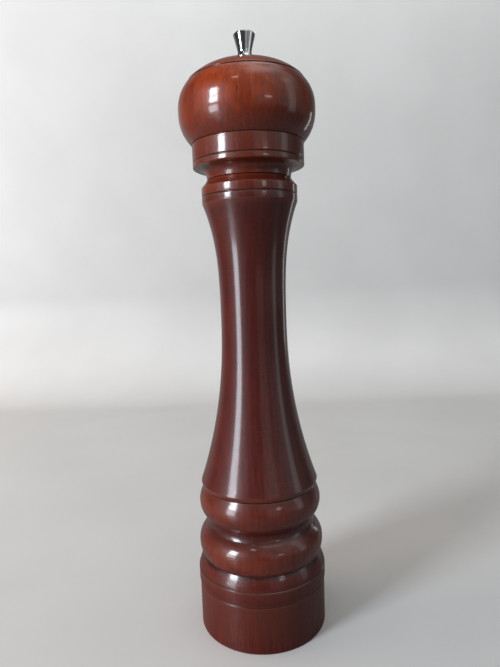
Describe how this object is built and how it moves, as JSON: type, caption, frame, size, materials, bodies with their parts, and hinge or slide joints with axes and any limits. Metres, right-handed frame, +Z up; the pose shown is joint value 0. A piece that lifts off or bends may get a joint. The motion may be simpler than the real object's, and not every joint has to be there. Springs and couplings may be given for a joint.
{
  "type": "pepper mill",
  "caption": "Tall turned wooden pepper mill with a waisted body, a rounded turning head and a small metal adjusting knob over a burr grinding mechanism.",
  "frame": {"origin": "centre of the base's flat resting face, on the mill's turning axis", "axes": "+Z up along the turning axis, from the base towards the knob; X and Y lie in the resting face"},
  "size_m": [0.0678, 0.0678, 0.3026],
  "materials": {
    "stained_wood": "glossy red-brown lacquer over stained hardwood",
    "burr_steel": "dark hardened steel, machined teeth",
    "plated_steel": "dull zinc-plated sheet",
    "screw_steel": "bright plated wood screw",
    "spring_steel": "drawn spring wire",
    "aluminium": "drawn bar, satin",
    "chrome": "polished chrome plate"
  },
  "bodies": {
    "body": {"body": "stained_wood", "stator": "burr_steel", "bridge": "plated_steel", "retainer_plate": "plated_steel", "retainer_screw_1": "screw_steel", "retainer_screw_2": "screw_steel", "retainer_screw_3": "screw_steel"},
    "spring_seat": {"spring_seat": "plated_steel", "spring": "spring_steel"},
    "shaft": {"drive_shaft": "aluminium", "rotor": "burr_steel", "rotor_washer": "plated_steel", "shaft_clip": "spring_steel"},
    "head": {"head": "stained_wood", "drive_plate": "plated_steel", "plate_screw_1": "screw_steel", "plate_screw_2": "screw_steel", "plate_screw_3": "screw_steel"},
    "knob_washer": {"knob_washer": "chrome"},
    "knob": {"adjusting_knob": "chrome"}
  },
  "joints": [
    {"name": "head_turn", "type": "hinge", "parent": "body", "child": "spring_seat", "pos_m": [0, 0, 0.2328], "axis": [0, 0, 1], "continuous": true},
    {"name": "grind_adjust", "type": "slide", "parent": "spring_seat", "child": "shaft", "axis": [0, 0, 1], "range_m": [-0.0012, 0.0004], "deforming": ["spring"]},
    {"name": "head_lift", "type": "slide", "parent": "spring_seat", "child": "head", "axis": [0, 0, 1], "range_m": [0, 0.095]},
    {"name": "knob_lift", "type": "slide", "parent": "head", "child": "knob_washer", "axis": [0, 0, 1], "range_m": [0, 0.012]},
    {"name": "knob_turn", "type": "hinge", "parent": "knob_washer", "child": "knob", "pos_m": [0, 0, 0.2892], "axis": [0, 0, 1], "range_deg": [-180, 540]}
  ],
  "couplings": [
    {"joint": "knob_turn", "follows": "grind_adjust", "rad_per_m": -7853.9}
  ]
}
